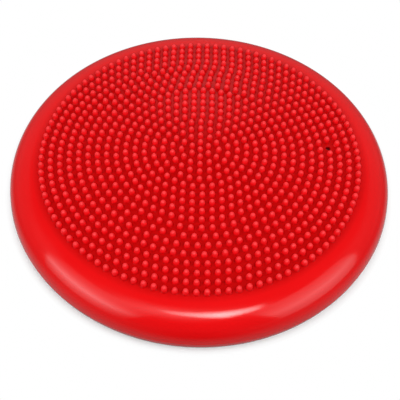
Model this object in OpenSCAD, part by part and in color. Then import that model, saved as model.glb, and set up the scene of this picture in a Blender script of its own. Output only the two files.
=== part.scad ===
// Wobble cushion: an air-filled moulded disc with a knobbed face, a rounded rim and a needle valve.
// Millimetres, +Z up, with the floor at z = 0 and the disc's axis on Z.

/* [Disc] */
// Overall diameter across the rim
disc_d = 330; // [260:1:420]
// Radius of the rim's round section
rim_r = 24; // [16:0.5:34]
// Rise of each face's crown above the rim
crown_rise = 5.3; // [2:0.1:14]
// Thickness of the moulded skin
wall_t = 3.5; // [2:0.1:6]
// Depth by which the cushion's own weight flattens the crown it stands on
foot_depth = 0.6; // [0.2:0.1:1.5]
// Height of the rim band above and below the parting line
band_h = 5; // [3:0.5:10]

/* [Knobs] */
// Distance between rings of knobs
ring_pitch = 7.93; // [7:0.01:14]
// Least distance between knobs along a ring
knob_pitch = 8.01; // [7:0.01:14]
// Direction of the first knob of every ring
first_angle = 30; // [0:1:359]
// Height of a knob above the skin
knob_h = 5; // [3:0.1:8]
// Diameter of a knob where it leaves the skin
knob_d = 5.5; // [4:0.1:6.8]
// Height of the straight foot with which a knob leaves the skin
knob_foot = 0.4; // [0.2:0.1:1]
// Radius of a knob's round tip
knob_tip_r = 2.1; // [1.2:0.1:2.2]
// Smooth margin between the outer ring and the edge of the panel
field_margin = 6; // [4:0.5:30]
// First of the rings that are spaced more widely
wide_from = 10; // [2:1:30]
// Number of rings that are spaced more widely
wide_rings = 3; // [0:1:4]
// Knobs left out of the first wide ring, with one more kept in each ring after it
wide_gap = 4; // [4:1:8]

/* [Valve] */
// Rings between the valve and the outer ring of knobs
valve_rings_in = 3; // [1:1:10]
// Knob place that the valve takes, counted clockwise from the first knob of its ring
valve_place = 6; // [0:1:40]
// Diameter of the needle port through the skin
port_d = 3.6; // [2:0.1:5]
// Diameter of the sealing core
core_d = 8; // [6:0.1:12]
// Length of the sealing core
core_l = 10; // [6:0.5:16]
// Clearance round the core and under the skin
core_gap = 0.05; // [0.02:0.01:0.3]
// Diameter of the needle's way into the core
needle_d = 1.2; // [0.6:0.1:1.8]
// Rubber left below the needle's way, which closes behind the needle
seal_t = 3; // [1:0.5:5]
// Wall of the housing round the core
housing_t = 2.4; // [1.5:0.1:4]
// Diameter of the housing's flange under the skin
flange_d = 20; // [16:0.5:30]
// Thickness of the flange
flange_t = 1.8; // [1:0.1:3]
// Ledge that holds the core up
ledge_t = 1.6; // [1:0.1:3]
// Width of that ledge
ledge_w = 2; // [1:0.1:3]

/* [Hidden] */
// Facets of the preview alone
$fn = 120;
knob_facets = 24;
crown_facets = 2400;

red = [0.86, 0.06, 0.07];
rim_red = [0.78, 0.05, 0.06];
band_red = [0.68, 0.04, 0.05];
grey = [0.5, 0.5, 0.52];
black = [0.1, 0.1, 0.1];

// The rim's round section and the crown's arc touch on one ray from the crown's centre
rim_c = disc_d / 2 - rim_r;
crown_h = rim_r + crown_rise;
crown_r = (rim_c * rim_c + crown_h * crown_h - rim_r * rim_r) / (2 * crown_rise);
crown_z = crown_h - crown_r;
edge_a = atan2(rim_c, -crown_z);
panel_r = crown_r * sin(edge_a);
mid_z = crown_h - foot_depth;

// Larger than any section that it clips
reach = 2 * crown_r;

ring_count = floor((panel_r - field_margin) / ring_pitch);
valve_ring = max(1, ring_count - valve_rings_in);

function left_out(n) =
  n >= wide_from && n < wide_from + wide_rings ? wide_gap - (n - wide_from) : 0;
function knobs_in(n) =
  n == 0 ? 1 : floor(2 * PI * n * ring_pitch / knob_pitch) - left_out(n);
function knob_angle(n, k) = first_angle - 360 * k / knobs_in(n);
function is_valve(n, k) = n == valve_ring && k == valve_place % knobs_in(n);
function ring_node(n) = str("knob_ring_", n);

// Rings part halfway between their knobs, and the outer one ends where the crown does
function ring_edge(n) =
  n == 0 ? 0 : n > ring_count ? edge_a : asin((n - 1 / 2) * ring_pitch / crown_r);

// A point of the crown's section, on a ray from its centre and inset from its outer face
function on_arc(inset, a) = [0, crown_z] + (crown_r - inset) * [sin(a), cos(a)];

// A knob tapers from its foot, and its side ends a hair inside the round tip
tip_z = knob_h - knob_tip_r;
tip_lap = 0.006;
side_end = knob_tip_r - tip_lap;
taper = [-knob_d / 2, tip_z - knob_foot];
knob_draft = atan2(taper[1], taper[0]) - asin(side_end / norm(taper)) - 90;
side_r = side_end * cos(knob_draft);
side_z = tip_z + side_end * sin(knob_draft);
knob_root = wall_t / 2;

core_z = wall_t + core_gap;
bore_r = core_d / 2 + core_gap;
housing_l = core_l + core_gap + ledge_t;

// Lifts the disc's middle plane to its height over the floor
module at_middle() translate([0, 0, mid_z]) children();

// Stands a child on the crown of the top face, square to it
module on_crown(n, angle)
  translate([0, 0, crown_z]) rotate(angle) rotate([0, asin(n * ring_pitch / crown_r), 0])
    translate([0, 0, crown_r]) children();

module at_valve() on_crown(valve_ring, knob_angle(valve_ring, valve_place)) children();

module crown_disc(inset) translate([0, crown_z]) circle(crown_r - inset, $fn = crown_facets);

// Everything between two rays from the crown's centre
module crown_wedge(from, to)
  translate([0, crown_z]) polygon([[0, 0], [reach * tan(to), reach], [reach * tan(from), reach]]);

module rim_ring()
  translate([rim_c, 0]) difference() {
    circle(rim_r);
    circle(rim_r - wall_t);
  }

// The band of the crown's skin that carries one ring of knobs, straight from edge to edge
module ring_section(n) polygon([
  on_arc(wall_t, ring_edge(n)), on_arc(wall_t, ring_edge(n + 1)),
  on_arc(0, ring_edge(n + 1)), on_arc(0, ring_edge(n))
]);

// The crown's section turned over, with its middle pressed flat on the floor at an even thickness
module foot_section() mirror([0, 1]) intersection() {
  difference() {
    intersection() {
      crown_disc(0);
      translate([0, mid_z - reach]) square(reach);
    }
    intersection() {
      crown_disc(wall_t);
      translate([0, mid_z - wall_t - reach]) square(reach);
    }
  }
  crown_wedge(0, edge_a);
}

module sidewall_section() intersection() {
  rim_ring();
  polygon([
    [rim_c + band_h * tan(edge_a), band_h], [disc_d / 2 + rim_r, band_h],
    [disc_d / 2 + rim_r, disc_d / 2], [rim_c + disc_d / 2 * tan(edge_a), disc_d / 2]
  ]);
}

module band_section() intersection() {
  rim_ring();
  translate([rim_c, 0]) square([disc_d, band_h]);
}

module knob() rotate_extrude($fn = knob_facets) {
  polygon([
    [0, -knob_root], [knob_d / 2, -knob_root], [knob_d / 2, knob_foot],
    [side_r, side_z], [0, side_z]
  ]);
  intersection() {
    translate([0, tip_z]) circle(knob_tip_r, $fn = 2 * knob_facets);
    translate([0, knob_foot]) square(knob_h);
  }
}

// One ring of knobs, moulded in one with its band of skin. The valve's ring is pierced by the port
module knob_ring(n) color(red) at_middle() difference() {
  union() {
    rotate_extrude() ring_section(n);
    for (k = [0 : knobs_in(n) - 1])
      if (!is_valve(n, k)) on_crown(n, knob_angle(n, k)) knob();
  }
  if (n == valve_ring)
    at_valve() translate([0, 0, -2 * wall_t]) cylinder(d = port_d, h = 3 * wall_t);
}

// The shoulder between the knobbed face and the rim band
module upper_sidewall() color(rim_red) at_middle() rotate_extrude() sidewall_section();

// The two halves of the band at the parting line of the mould
module upper_rim_band() color(band_red) at_middle() rotate_extrude() band_section();

module lower_rim_band()
  color(band_red) at_middle() rotate_extrude() mirror([0, 1]) band_section();

module lower_sidewall()
  color(rim_red) at_middle() rotate_extrude() mirror([0, 1]) sidewall_section();

// The smooth underside, flat where it stands
module base_panel() color(red) at_middle() rotate_extrude() foot_section();

// The boss under the skin that holds the core, with its flange against the skin's inner face
module valve_housing() color(grey) at_middle() at_valve() translate([0, 0, -core_z])
  rotate_extrude() polygon([
    [bore_r, 0], [flange_d / 2, 0], [flange_d / 2, -flange_t], [bore_r + housing_t, -flange_t],
    [bore_r + housing_t, -housing_l], [core_d / 2 - ledge_w, -housing_l],
    [core_d / 2 - ledge_w, ledge_t - housing_l], [bore_r, ledge_t - housing_l]
  ]);

// The self-sealing rubber core, with a funnel that leads the needle in
module valve_core() color(black) at_middle() at_valve() translate([0, 0, -core_z])
  rotate_extrude() polygon([
    [0, -core_l], [core_d / 2, -core_l], [core_d / 2, 0], [port_d / 2, 0],
    [needle_d / 2, -(port_d - needle_d)], [needle_d / 2, seal_t - core_l], [0, seal_t - core_l]
  ]);

for (n = [0 : ring_count]) knob_ring(n);
upper_sidewall();
upper_rim_band();
lower_rim_band();
lower_sidewall();
base_panel();
valve_housing();
valve_core();
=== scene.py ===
"""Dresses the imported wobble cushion: red skin, field of knobs and valve, on a pale floor in soft light."""
import math

import bmesh
import bpy
from mathutils import Matrix, Vector


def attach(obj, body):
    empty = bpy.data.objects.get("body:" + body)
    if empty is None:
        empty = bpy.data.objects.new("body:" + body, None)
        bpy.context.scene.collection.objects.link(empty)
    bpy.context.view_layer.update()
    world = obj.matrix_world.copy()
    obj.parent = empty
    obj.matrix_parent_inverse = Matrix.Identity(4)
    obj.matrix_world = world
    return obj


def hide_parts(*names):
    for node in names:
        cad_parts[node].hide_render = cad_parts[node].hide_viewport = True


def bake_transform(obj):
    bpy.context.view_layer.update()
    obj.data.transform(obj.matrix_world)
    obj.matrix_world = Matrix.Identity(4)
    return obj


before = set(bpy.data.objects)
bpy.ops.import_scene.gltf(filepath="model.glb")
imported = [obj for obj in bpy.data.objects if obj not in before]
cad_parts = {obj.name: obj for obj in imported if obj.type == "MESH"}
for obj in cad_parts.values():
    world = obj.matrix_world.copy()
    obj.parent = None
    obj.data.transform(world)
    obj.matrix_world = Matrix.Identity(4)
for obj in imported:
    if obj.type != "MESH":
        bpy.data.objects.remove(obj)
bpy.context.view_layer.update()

MM = 0.001
HAIR = 1e-6  # a length that counts as none, in millimetres

# Sizes of the solids, in millimetres
DISC_R, RIM_R, CROWN_RISE = 165.0, 24.0, 5.3
WALL, FOOT_DEPTH, BAND_H = 3.5, 0.6, 5.0
RING_PITCH, KNOB_PITCH, RINGS = 7.93, 8.01, 17
FIRST_ANGLE = math.radians(30)
WIDE_FROM, WIDE_RINGS, WIDE_GAP = 10, 3, 4
VALVE_RING, VALVE_PLACE = 14, 6
KNOB_H, KNOB_R, KNOB_FOOT, KNOB_TIP_R = 5.0, 2.75, 0.4, 2.1
PORT_R = 1.8

RIM_C = DISC_R - RIM_R
CROWN_H = RIM_R + CROWN_RISE
CROWN_R = (RIM_C**2 + CROWN_H**2 - RIM_R**2) / (2 * CROWN_RISE)
EDGE = math.atan2(RIM_C, CROWN_R - CROWN_H)
MID_Z = CROWN_H - FOOT_DEPTH
CROWN_Z = MID_Z + CROWN_H - CROWN_R
FOOT_ANGLE = math.acos(1 - FOOT_DEPTH / CROWN_R)
BAND_ANGLE = math.asin(BAND_H / RIM_R)
PANEL_R = CROWN_R * math.sin(EDGE)
FIELD_R = RINGS * RING_PITCH
VALVE_RING_KNOBS = math.floor(2 * math.pi * VALVE_RING * RING_PITCH / KNOB_PITCH)

# Fine forms that the solids lack. A flare is a row of (width beyond the radius, height) in millimetres
SEAM_RISE, SEAM_WIDTH = 0.22, 0.45  # bead that the mould's parting line leaves on the rim
FOOT_FLARE = (0.55, -0.1), (0.16, 0.16), (-0.02, 0.6)
MOUTH_FLARE = (0.0, -1.3), (0.12, -0.75), (0.42, -0.28), (0.95, 0.02)
TIP_BREAK = math.radians(50)  # angle on the round tip at which its facets break
KNOB_LEAN = math.radians(1.2)  # most that a knob leans off square about either axis
KNOB_LEAST = 0.985  # smallest knob, as a share of the full size

# Segments of the meshes round their axes
ROUND, KNOB_SIDES, PORT_SIDES = 240, 12, 32

# Colours, in pairs where a surface is mottled between two
SKIN_RED = (0.735, 0.0014, 0.0024, 1), (0.79, 0.0022, 0.0036, 1)
# Painted shade: a deeper red that stands in for the shade between the knobs and at their feet
PAINTED_SHADE_RED = (0.475, 0.0004, 0.0006, 1), (0.53, 0.0006, 0.0009, 1)
SIDE_RED = (0.84, 0.006, 0.009, 1)
# Painted highlight: a paler red that stands in for the light on the knobs' tips
TIP_PAINTED_HIGHLIGHT_RED = (0.96, 0.037, 0.044, 1)
HOUSING_RED = (0.42, 0.006, 0.008, 1), (0.55, 0.012, 0.014, 1)
CORE_BLACK = (0.010, 0.010, 0.011, 1), (0.028, 0.027, 0.027, 1)
FLOOR_GREY, FLOOR_WHITE = (0.2, 0.2, 0.2, 1), (0.9, 0.95, 0.95, 1)
BLACK, WHITE = (0, 0, 0, 1), (1, 1, 1, 1)

# Finish of the red PVC on the plain skin, on the web between the knobs and on the knobs
ROUGHNESS = {"skin": 0.09, "web": 0.13, "knob": 0.13}
GLOSS = {"skin": 0.5, "web": 0.2, "knob": 0.3}
SMUDGE_ROUGHNESS, TIP_ROUGHNESS = 0.06, 0.28  # what smudges and a knob's height add to the roughness
RIPPLE_H, GRAIN_H = 0.32, 0.006  # unevenness of the surface, in millimetres
MARGIN_SHEEN = 0.6  # coat on the smooth margin outside the knobs


# Node trees


class Wire:
    """An output of a node. Arithmetic on it adds Math nodes, so sums read as sums."""

    def __init__(self, graph, socket):
        self.graph, self.socket = graph, socket

    def math(self, operation, *terms):
        return self.graph.add("ShaderNodeMath", dict(enumerate(terms)), operation=operation)[0]

    def __add__(self, other):
        return self.math("ADD", self, other)

    def __sub__(self, other):
        return self.math("SUBTRACT", self, other)

    def __rsub__(self, other):
        return self.math("SUBTRACT", other, self)

    def __mul__(self, other):
        return self.math("MULTIPLY", self, other)

    def __truediv__(self, other):
        return self.math("DIVIDE", self, other)

    def __rtruediv__(self, other):
        return self.math("DIVIDE", other, self)

    def __gt__(self, other):
        return self.math("GREATER_THAN", self, other)

    def __lt__(self, other):
        return self.math("LESS_THAN", self, other)

    __radd__, __rmul__ = __add__, __mul__

    def __abs__(self):
        return self.math("ABSOLUTE", self)

    def floor(self):
        return self.math("FLOOR", self)

    def sqrt(self):
        return self.math("SQRT", self)

    def exp(self):
        return self.math("EXPONENT", self)

    def power(self, exponent):
        return self.math("POWER", self, exponent)

    def sin(self):
        return self.math("SINE", self)

    def cos(self):
        return self.math("COSINE", self)

    def asin(self):
        return self.math("ARCSINE", self)

    def near(self, other):
        return self.math("COMPARE", self, other, 0.5)

    def clamp(self):
        return self.graph.add("ShaderNodeClamp", {"Value": self})[0]


class Node:
    """A node whose outputs come as wires."""

    def __init__(self, graph, node):
        self.graph, self.node = graph, node

    def __getitem__(self, key):
        return Wire(self.graph, self.node.outputs[key])


class Graph:
    """A node tree. A node is added with its settings first, then the values or wires of its sockets."""

    def __init__(self, tree):
        self.tree = tree

    def add(self, kind, sockets=None, **settings):
        node = self.tree.nodes.new(kind)
        for name, value in settings.items():
            if name == "stops":
                while len(node.color_ramp.elements) < len(value):
                    node.color_ramp.elements.new(1)
                for element, (place, grey) in zip(node.color_ramp.elements, value):
                    element.position, element.color = place, (grey, grey, grey, 1)
            elif name == "captures":
                for item in value:
                    node.capture_items.new("FLOAT", item)
            else:
                setattr(node, name, value)
        for key, value in (sockets or {}).items():
            if isinstance(value, Wire):
                self.tree.links.new(value.socket, node.inputs[key])
            else:
                node.inputs[key].default_value = value
        return Node(self, node)

    def mix(self, factor, first, second):
        """Colour between two colours."""
        return self.add(
            "ShaderNodeMix", {0: factor, 6: first, 7: second}, data_type="RGBA", clamp_factor=True
        )[2]

    def smooth(self, value, low, high, first=0.0, last=1.0):
        """Goes smoothly from one level to another while a value goes from low to high."""
        return self.add(
            "ShaderNodeMapRange",
            {0: value, 1: low, 2: high, 3: first, 4: last},
            interpolation_type="SMOOTHSTEP",
        )[0]


def from_axis(spot):
    """Distance of a spot's X and Y from the disc's axis."""
    return (spot["X"] * spot["X"] + spot["Y"] * spot["Y"]).sqrt()


def new_material(name):
    material = bpy.data.materials.new(name)
    material.use_nodes = True
    material.node_tree.nodes.clear()
    return material, Graph(material.node_tree)


# Materials


def red_pvc(part):
    """Glossy soft PVC moulded in red. Painted shade deepens it between the knobs, and a painted highlight
    pales their tips, which are duller.
    """
    material, graph = new_material(part + "_red")
    place = graph.add("ShaderNodeTexCoord")["Object"]

    def noise(scale, detail):
        return graph.add(
            "ShaderNodeTexNoise", {"Vector": place, "Scale": scale, "Detail": detail, "Roughness": 0.5}
        )[0]

    def ramp(value, low, high):
        return graph.add("ShaderNodeValToRGB", {"Fac": value}, stops=((low, 0), (high, 1)))[0]

    cloud, smudge, grain, ripple = noise(24, 3), noise(65, 4), noise(700, 2), noise(13, 1)
    rough = ROUGHNESS[part] + SMUDGE_ROUGHNESS * smudge
    sheen = 0.0
    if part == "web":
        # Painted shade deepens the web's red between the knobs. Beyond the outer ring of knobs the web goes
        # over into the plain skin
        radius = from_axis(graph.add("ShaderNodeSeparateXYZ", {0: place}))
        edge = ramp(radius / (DISC_R * MM), FIELD_R / DISC_R, PANEL_R / DISC_R)
        red = graph.mix(edge, graph.mix(cloud, *PAINTED_SHADE_RED), graph.mix(cloud, *SKIN_RED))
        sheen = MARGIN_SHEEN * edge
    elif part == "knob":
        centre = (0, 0, CROWN_Z * MM)
        from_centre = graph.add("ShaderNodeVectorMath", {0: place, 1: centre}, operation="SUBTRACT")[0]
        reach = graph.add("ShaderNodeVectorMath", {0: from_centre}, operation="LENGTH")[1]
        height = ((reach - CROWN_R * MM) / (KNOB_H * MM)).clamp()
        # Painted shade darkens each knob's foot, and a painted highlight makes its tip paler
        side = graph.mix(ramp(height, 0.0, 0.3), graph.mix(cloud, *PAINTED_SHADE_RED), SIDE_RED)
        red = graph.mix(ramp(height, 0.6, 1.0), side, TIP_PAINTED_HIGHLIGHT_RED)
        rough = rough + TIP_ROUGHNESS * height
    else:
        red = graph.mix(cloud, *SKIN_RED)
    bumps = RIPPLE_H * ripple + GRAIN_H * grain
    normal = graph.add("ShaderNodeBump", {"Strength": 1.0, "Distance": MM, "Height": bumps})["Normal"]
    shader = graph.add(
        "ShaderNodeBsdfPrincipled",
        {
            "Base Color": red,
            "Roughness": rough,
            "IOR": 1.53,
            "Specular IOR Level": GLOSS[part],
            "Coat Weight": sheen,
            "Coat Roughness": 0.14,
            "Normal": normal,
        },
    )[0]
    graph.add("ShaderNodeOutputMaterial", {"Surface": shader})
    return material


def dull_part(name, dark, pale, scale, roughness, bump):
    """Matt moulded material, mottled between two colours."""
    material, graph = new_material(name)
    place = graph.add("ShaderNodeTexCoord")["Object"]
    mottle = graph.add("ShaderNodeTexNoise", {"Vector": place, "Scale": scale, "Detail": 4})[0]
    normal = graph.add(
        "ShaderNodeBump", {"Strength": 1.0, "Distance": bump * MM, "Height": mottle}
    )["Normal"]
    shader = graph.add(
        "ShaderNodeBsdfPrincipled",
        {
            "Base Color": graph.mix(mottle, dark, pale),
            "Roughness": roughness + 0.1 * mottle,
            "Normal": normal,
        },
    )[0]
    graph.add("ShaderNodeOutputMaterial", {"Surface": shader})
    return material


def pale_floor():
    """Floor that is white to the camera but for a soft shadow at the rim, and grey where it is mirrored."""
    material, graph = new_material("pale_floor")
    place = graph.add("ShaderNodeSeparateXYZ", {0: graph.add("ShaderNodeTexCoord")["Object"]})
    radius = from_axis(place)
    across, behind = place["X"] / radius, place["Y"] / radius
    discs = radius / (DISC_R * MM)

    # The shadow ends under the rim in front, and reaches further out and fades more slowly behind
    start = 1.02 + 0.098 * behind
    clear = graph.smooth(discs, start, start + 0.06 + 0.08 * behind.clamp(), 0.05, 1.0)

    # The mirrored floor darkens away from the rim, and least towards the front corners
    corner = 2 * across * (0 - behind).clamp()
    mirrored = graph.smooth(
        discs,
        1.0,
        1.55 + 0.3 * across * across + 0.35 * corner * corner,
        0.45 + 0.12 * behind,
        0.12 + 0.08 * behind + 0.15 * corner * corner,
    )

    path = graph.add("ShaderNodeLightPath")
    seen, glossy = path["Is Camera Ray"], path["Is Glossy Ray"]
    tone = graph.mix(seen, FLOOR_GREY, FLOOR_WHITE)
    lit = graph.add("ShaderNodeBsdfDiffuse", {"Color": tone})[0]
    shown = graph.mix((seen + mirrored).clamp(), BLACK, WHITE)
    glow = graph.add("ShaderNodeEmission", {"Color": shown, "Strength": 1.0})[0]
    own = (seen * clear + glossy).clamp()
    shader = graph.add("ShaderNodeMixShader", {0: own, 1: lit, 2: glow})[0]
    graph.add("ShaderNodeOutputMaterial", {"Surface": shader})
    return material


# Objects


def put(name, data):
    """New object in the scene."""
    obj = bpy.data.objects.new(name, data)
    bpy.context.scene.collection.objects.link(obj)
    return obj


def make_plain(obj):
    """Gives an object the mesh that its modifiers make of it, and removes them."""
    graph = bpy.context.evaluated_depsgraph_get()
    mesh = bpy.data.meshes.new_from_object(obj.evaluated_get(graph), depsgraph=graph)
    obj.modifiers.clear()
    obj.data = mesh
    return mesh


# Skin


def steps(start, end, rows):
    return [start + (end - start) * i / rows for i in range(rows + 1)]


def crown(start, end, rows):
    """Points of the top face's arc with their normals, as (radius, height, normal out, normal up)."""
    return [
        (CROWN_R * math.sin(a), CROWN_Z + CROWN_R * math.cos(a), math.sin(a), math.cos(a))
        for a in steps(start, end, rows)
    ]


def rim(start, end, rows):
    """Points of the rim's round section, between two angles above its middle."""
    return [
        (RIM_C + RIM_R * math.cos(a), MID_Z + RIM_R * math.sin(a), math.cos(a), math.sin(a))
        for a in steps(start, end, rows)
    ]


def parting_bead(line):
    """Raises a fine bead on the rim where the halves of the mould met."""
    out = []
    for radius, height, _, _ in line:
        offset = (height - MID_Z) / SEAM_WIDTH
        rise = SEAM_RISE * math.exp(-offset * offset)
        slope = -(height - MID_Z) / RIM_R - 2 * offset / SEAM_WIDTH * rise
        normal = Vector((1, -slope)).normalized()
        out.append((radius + rise, height, normal.x, normal.y))
    return out


def turned_over(line):
    return [(r, 2 * MID_Z - z, nr, -nz) for r, z, nr, nz in reversed(line)]


def tread(line):
    """The underside's arc pressed flat on the floor inside its foot."""
    return [p if p[1] > HAIR else (p[0], 0.0, 0.0, -1.0) for p in line]


def skin_piece(name, line, finish):
    """Closed shell of the skin's thickness, turned about the disc's axis from a line of its outside."""
    inner = [(r - WALL * nr, z - WALL * nz, -nr, -nz) for r, z, nr, nz in reversed(line)]
    section = line + inner
    turns = [2 * math.pi * i / ROUND for i in range(ROUND)]
    verts, rows = [], []
    for r, z, _, _ in section:
        first = len(verts)
        if r < HAIR:
            verts.append((0, 0, z * MM))
            rows.append([first] * ROUND)
            continue
        verts += [(r * MM * math.cos(t), r * MM * math.sin(t), z * MM) for t in turns]
        rows.append(list(range(first, first + ROUND)))
    faces, normals = [], []
    count = len(section)
    for i in range(count):
        j = (i + 1) % count
        if section[i][0] < HAIR and section[j][0] < HAIR:
            continue
        smooth = i != len(line) - 1 and j != 0
        for k in range(ROUND):
            m = (k + 1) % ROUND
            corners = [(i, k), (j, k), (j, m), (i, m)]
            if section[j][0] < HAIR:
                corners = [(i, k), (j, k), (i, m)]
            elif section[i][0] < HAIR:
                corners = [(i, k), (j, k), (j, m)]
            faces.append([rows[a][b] for a, b in corners])
            for a, b in corners:
                out, up = section[a][2:] if smooth else (0, 0)
                normals.append((out * math.cos(turns[b]), out * math.sin(turns[b]), up))
    mesh = bpy.data.meshes.new(name)
    mesh.from_pydata(verts, [], faces)
    mesh.shade_smooth()
    # Zero normals keep the flat ends as they are
    mesh.normals_split_custom_set(normals)
    mesh.materials.append(finish)
    return put(name, mesh)


def valve_place():
    """Frame of the valve's hole: its middle on the skin, with Z square to the skin."""
    turn = FIRST_ANGLE - 2 * math.pi * VALVE_PLACE / VALVE_RING_KNOBS
    lean = math.asin(VALVE_RING * RING_PITCH / CROWN_R)
    return (
        Matrix.Translation((0, 0, CROWN_Z * MM))
        @ Matrix.Rotation(turn, 4, "Z")
        @ Matrix.Rotation(lean, 4, "Y")
        @ Matrix.Translation((0, 0, CROWN_R * MM))
    )


def turned_mesh(name, line, segments):
    """Mesh of a line of (radius, height), turned about Z. A start off the axis is closed by a flat face."""
    mesh = bmesh.new()
    turns = [2 * math.pi * i / segments for i in range(segments)]
    rings = []
    for r, z in line:
        if r < HAIR:
            rings.append([mesh.verts.new((0, 0, z * MM))] * segments)
            continue
        spots = [(r * MM * math.cos(t), r * MM * math.sin(t), z * MM) for t in turns]
        rings.append([mesh.verts.new(spot) for spot in spots])
    for low, high in zip(rings, rings[1:]):
        for i in range(segments):
            j = (i + 1) % segments
            corners = [low[i], low[j], high[j], high[i]]
            mesh.faces.new(list(dict.fromkeys(corners)))
    for face in mesh.faces:
        face.smooth = True
    if line[0][0] > HAIR:
        mesh.faces.new(reversed(rings[0]))
    data = bpy.data.meshes.new(name)
    mesh.to_mesh(data)
    mesh.free()
    return data


def pierce(obj):
    """Cuts the needle port through the top skin, with a rounded mouth."""
    below, above = -2 * WALL, 1.0
    mouth = [(PORT_R + wide, height) for wide, height in MOUTH_FLARE]
    line = [(0, below), (PORT_R, below), *mouth, (mouth[-1][0], above), (0, above)]
    cutter = put("port_cutter", turned_mesh("port_cutter", line, PORT_SIDES))
    cutter.data.transform(valve_place())
    cut = obj.modifiers.new("port", "BOOLEAN")
    cut.object, cut.operation, cut.solver = cutter, "DIFFERENCE", "EXACT"
    mesh = make_plain(obj)
    bpy.data.objects.remove(cutter)

    # Faces along the crown are shaded as a sphere. The others, with zero normals, stay as they are
    centre = Vector((0, 0, CROWN_Z * MM))
    along = 0.995
    normals = []
    for face in mesh.polygons:
        for index in face.vertices:
            away = (mesh.vertices[index].co - centre).normalized()
            facing = face.normal.dot(away)
            normals.append(away * math.copysign(1, facing) if abs(facing) > along else (0, 0, 0))
    mesh.normals_split_custom_set(normals)


# Knobs


def knob_shape():
    """One knob: a flared foot sunk just under the skin, a tapering side and a round tip."""
    tip_z = KNOB_H - KNOB_TIP_R
    rise = tip_z - KNOB_FOOT
    draft = math.atan2(rise, -KNOB_R) - math.asin(KNOB_TIP_R / math.hypot(KNOB_R, rise)) - math.pi / 2
    line = [(KNOB_R + wide, height) for wide, height in FOOT_FLARE]
    for angle in (draft, TIP_BREAK):
        line.append((KNOB_TIP_R * math.cos(angle), tip_z + KNOB_TIP_R * math.sin(angle)))
    return turned_mesh("knob", line + [(0, KNOB_H)], KNOB_SIDES)


def knob_rings(inputs):
    """Node tree that sets knobs out in rings over the crown, and the identifiers of its inputs."""
    tree = bpy.data.node_groups.new("knob_rings", "GeometryNodeTree")
    graph = Graph(tree)
    names = {}
    for name, (kind, _) in inputs.items():
        socket = tree.interface.new_socket(name=name, in_out="INPUT", socket_type="NodeSocket" + kind)
        names[name] = socket.identifier
    tree.interface.new_socket(name="Knobs", in_out="OUTPUT", socket_type="NodeSocketGeometry")
    given = graph.add("NodeGroupInput")

    # One point for each ring, repeated once for each of its knobs
    dots = graph.add("GeometryNodePoints", {"Count": given["Rings"] + 1})[0]
    ring = graph.add("GeometryNodeInputIndex")[0]
    past = ring - given["Wide From"]
    wide = (past > -0.5) * (past < given["Wide Rings"] - 0.5)
    fits = (2 * math.pi * ring * given["Ring Pitch"] / given["Knob Pitch"]).floor()
    number = fits - wide * (given["Wide Gap"] - past) + ring.near(0)
    kept = graph.add(
        "GeometryNodeCaptureAttribute",
        {"Geometry": dots, "Ring": ring, "Number": number},
        captures=("Ring", "Number"),
        domain="POINT",
    )
    ring, number = kept["Ring"], kept["Number"]
    repeated = graph.add(
        "GeometryNodeDuplicateElements",
        {"Geometry": kept["Geometry"], "Amount": number},
        domain="POINT",
    )
    placed = graph.add(
        "GeometryNodeCaptureAttribute",
        {"Geometry": repeated["Geometry"], "Place": repeated["Duplicate Index"]},
        captures=("Place",),
        domain="POINT",
    )
    place = placed["Place"]

    # Every knob stands square to the crown, and the valve takes the place of one
    turn = given["First Angle"] - 2 * math.pi * place / number
    lean = (ring * given["Ring Pitch"] / given["Crown Radius"]).asin()
    reach = lean.sin() * given["Crown Radius"]
    spot = graph.add(
        "ShaderNodeCombineXYZ",
        {
            "X": reach * turn.cos(),
            "Y": reach * turn.sin(),
            "Z": given["Crown Centre"] + lean.cos() * given["Crown Radius"],
        },
    )[0]
    moved = graph.add("GeometryNodeSetPosition", {"Geometry": placed["Geometry"], "Position": spot})[0]
    valve = ring.near(given["Valve Ring"]) * place.near(given["Valve Place"])
    standing = graph.add(
        "GeometryNodeDeleteGeometry", {"Geometry": moved, "Selection": valve}, domain="POINT"
    )[0]

    # Knobs differ a little in lean and size
    def chance(low, high, step):
        return graph.add(
            "FunctionNodeRandomValue",
            {2: low, 3: high, "Seed": given["Seed"] + step},
            data_type="FLOAT",
        )[1]

    angles = graph.add(
        "ShaderNodeCombineXYZ",
        {
            "X": given["Lean"] * chance(-1.0, 1.0, 0),
            "Y": lean + given["Lean"] * chance(-1.0, 1.0, 1),
            "Z": turn,
        },
    )[0]
    rotation = graph.add("FunctionNodeEulerToRotation", {0: angles})[0]
    shape = graph.add("GeometryNodeObjectInfo", {"Object": given["Knob"]})["Geometry"]
    scale = chance(given["Least"], 1.0, 2)
    spread = graph.add(
        "GeometryNodeInstanceOnPoints",
        {"Points": standing, "Instance": shape, "Rotation": rotation, "Scale": scale},
    )[0]
    real = graph.add("GeometryNodeRealizeInstances", {0: spread})[0]
    painted = graph.add("GeometryNodeSetMaterial", {"Geometry": real, "Material": given["Finish"]})[0]
    graph.add("NodeGroupOutput", {0: painted})
    return tree, names


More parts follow.
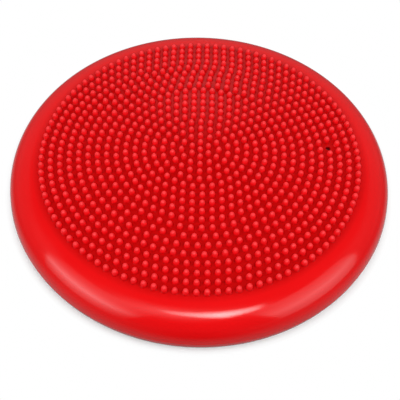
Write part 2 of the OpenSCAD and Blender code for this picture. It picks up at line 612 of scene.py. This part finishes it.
def knob_field(finish):
    """All the knobs, as one plain mesh."""
    knob = bpy.data.objects.new("knob", knob_shape())
    inputs = {
        "Rings": ("Int", RINGS),
        "Ring Pitch": ("Float", RING_PITCH * MM),
        "Knob Pitch": ("Float", KNOB_PITCH * MM),
        "First Angle": ("Float", FIRST_ANGLE),
        "Wide From": ("Int", WIDE_FROM),
        "Wide Rings": ("Int", WIDE_RINGS),
        "Wide Gap": ("Int", WIDE_GAP),
        "Valve Ring": ("Int", VALVE_RING),
        "Valve Place": ("Int", VALVE_PLACE),
        "Crown Radius": ("Float", CROWN_R * MM),
        "Crown Centre": ("Float", CROWN_Z * MM),
        "Lean": ("Float", KNOB_LEAN),
        "Least": ("Float", KNOB_LEAST),
        "Seed": ("Int", 7),
        "Knob": ("Object", knob),
        "Finish": ("Material", finish),
    }
    tree, names = knob_rings(inputs)
    obj = put("knob_field", bpy.data.meshes.new("knob_field"))
    layout = obj.modifiers.new("rings", "NODES")
    layout.node_group = tree
    for name, (_, value) in inputs.items():
        layout[names[name]] = value
    make_plain(obj)
    bpy.data.objects.remove(knob)
    return obj


# The cushion

skin, web_skin, knob_skin = (red_pvc(part) for part in ("skin", "web", "knob"))
rings = ["knob_ring_%d" % n for n in range(RINGS + 1)]
flank = math.pi / 2 - EDGE

top_skin = skin_piece("top_skin", crown(0, EDGE, rows=24), web_skin)
pierce(top_skin)
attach(top_skin, "top")
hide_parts(*rings)

knobs = knob_field(knob_skin)
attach(knobs, "top")
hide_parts(*rings)

upper_wall = skin_piece("upper_wall", rim(flank, BAND_ANGLE, rows=28), skin)
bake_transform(upper_wall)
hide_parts("upper_sidewall")

rim_band = skin_piece("rim_band", parting_bead(rim(BAND_ANGLE, -BAND_ANGLE, rows=40)), skin)
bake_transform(rim_band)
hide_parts("upper_rim_band", "lower_rim_band")

lower_wall = skin_piece("lower_wall", turned_over(rim(flank, BAND_ANGLE, rows=28)), skin)
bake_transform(lower_wall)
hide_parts("lower_sidewall")

sole = crown(0, FOOT_ANGLE, rows=6) + crown(FOOT_ANGLE, EDGE, rows=16)[1:]
base_skin = skin_piece("base_skin", tread(turned_over(sole)), skin)
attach(base_skin, "base")
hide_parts("base_panel")

housing_red = dull_part("housing_red", *HOUSING_RED, scale=220, roughness=0.5, bump=0.03)
core_black = dull_part("core_black", *CORE_BLACK, scale=420, roughness=0.62, bump=0.05)
for node, finish in (("valve_housing", housing_red), ("valve_core", core_black)):
    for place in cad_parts[node].material_slots:
        place.material = finish


# Floor, light and camera


def toward(azimuth, elevation):
    """Direction from the cushion, given in degrees."""
    a, e = math.radians(azimuth), math.radians(elevation)
    return Vector((math.cos(e) * math.cos(a), math.cos(e) * math.sin(a), math.sin(e)))


def soft_panel(name, azimuth, elevation, away, size, watts, glow=None):
    """Area lamp that faces the cushion from a direction in degrees. A panel with no glow isn't mirrored."""
    lamp = bpy.data.lights.new(name, "AREA")
    lamp.shape, lamp.energy = "RECTANGLE", watts
    lamp.size, lamp.size_y = size
    if glow:
        lamp.use_nodes = True
        lamp.node_tree.nodes.clear()
        graph = Graph(lamp.node_tree)
        spot = graph.add("ShaderNodeNewGeometry")["Parametric"]
        place = graph.add("ShaderNodeSeparateXYZ", {0: spot})
        shine = graph.add("ShaderNodeEmission", {"Strength": glow(place["X"], place["Y"])})[0]
        graph.add("ShaderNodeOutputLight", {"Surface": shine})
    aim = Vector((0, 0, 0.04))
    direction = toward(azimuth, elevation)
    obj = put(name, lamp)
    obj.location = direction * away + aim
    obj.rotation_euler = direction.to_track_quat("Z", "Y").to_euler()
    obj.visible_camera, obj.visible_glossy = False, bool(glow)


def tapered(across, up):
    """Glow that is broad above, drawn in below, and fades from its middle."""
    off, rise = across - 0.6, up - 0.45
    wide = 1.12 - abs(off) / (1.05 * up)
    tall = 1.1 - 2.3 * abs(rise)
    return wide.clamp() * tall.clamp()


def window(middle, bow, peak, fall):
    """Glow that is strongest at one height, fades above and below it, and is weaker towards the sides."""

    def glow(across, up):
        fade = (abs(up - peak) * -fall).exp()
        return fade * (1 - bow * (across - middle) * (across - middle))

    return glow


def studio():
    """Room that is white to the camera, lights from overhead, and is dim with a pale wall in mirrors."""
    world = bpy.data.worlds.new("studio")
    world.use_nodes = True
    world.node_tree.nodes.clear()
    graph = Graph(world.node_tree)
    place = graph.add("ShaderNodeSeparateXYZ", {0: graph.add("ShaderNodeTexCoord")["Generated"]})
    side, back, height = (place[axis] for axis in "XYZ")
    front, behind, above = (0 - back).clamp(), back.clamp(), height.clamp()
    lit = (0.05 + 0.59 * above - 0.28 * front).clamp()

    # The back wall is brightest in a narrow strip at its top, which the lanes between the knobs mirror
    strip = (side * side * -120).exp() * graph.smooth(height, 0.52, 0.64)
    wall = 0.17 * behind + 0.5 * behind * behind * behind * above + 0.8 * (back > 0) * strip
    top = graph.smooth(height, 0.64, 0.77, 1.0, 0.0)

    # A glow beside the lamp over the camera
    halo = toward(-108, 65)
    close = (side * halo.x + back * halo.y + height * halo.z).clamp()
    mirrored = 0.04 + 0.12 * side * side + 0.04 * front + wall * top + 1.25 * close.power(24)

    path = graph.add("ShaderNodeLightPath")
    seen, diffuse = path["Is Camera Ray"], path["Is Diffuse Ray"]
    level = seen + diffuse * lit + (1 - seen - diffuse).clamp() * mirrored
    air = graph.add("ShaderNodeBackground", {"Color": WHITE, "Strength": level})[0]
    graph.add("ShaderNodeOutputWorld", {"Surface": air})
    return world


span, drop = 6.0, 0.0002
mesh = bpy.data.meshes.new("floor")
corners = [(x * span, y * span, -drop) for x, y in ((-1, -1), (1, -1), (1, 1), (-1, 1))]
mesh.from_pydata(corners, [], [(0, 1, 2, 3)])
mesh.materials.append(pale_floor())
floor = put("floor", mesh)

left_glow = window(middle=0.42, bow=2.4, peak=0.44, fall=4.5)
right_glow = window(middle=0.5, bow=1.2, peak=0.44, fall=2.5)
soft_panel("over_camera", -78.2, 58.0, away=1.4, size=(0.8, 0.76), watts=24.0, glow=tapered)
soft_panel("left_wall", -144.0, 28, away=1.53, size=(1.38, 1.73), watts=24.6, glow=left_glow)
soft_panel("right_wall", -30.2, 27, away=1.53, size=(1.35, 1.67), watts=14.4, glow=right_glow)
soft_panel("left_fill", -168, 38, away=1.6, size=(1.2, 1.0), watts=5.6)
soft_panel("right_fill", -8, 38, away=1.6, size=(1.2, 1.0), watts=3.6)
soft_panel("back_fill", 90, 14, away=1.6, size=(1.6, 0.6), watts=3.0)

bpy.context.scene.world = studio()
bpy.context.scene.view_settings.view_transform = "Standard"

lens = bpy.data.cameras.new("camera")
lens.lens, lens.sensor_width = 63.842, 36.0
camera = put("camera", lens)
camera.location = (0, -0.391573, 0.521589)
camera.rotation_euler = [math.radians(v) for v in (36.2052, -0.9921, 1.2030)]
bpy.context.scene.camera = camera
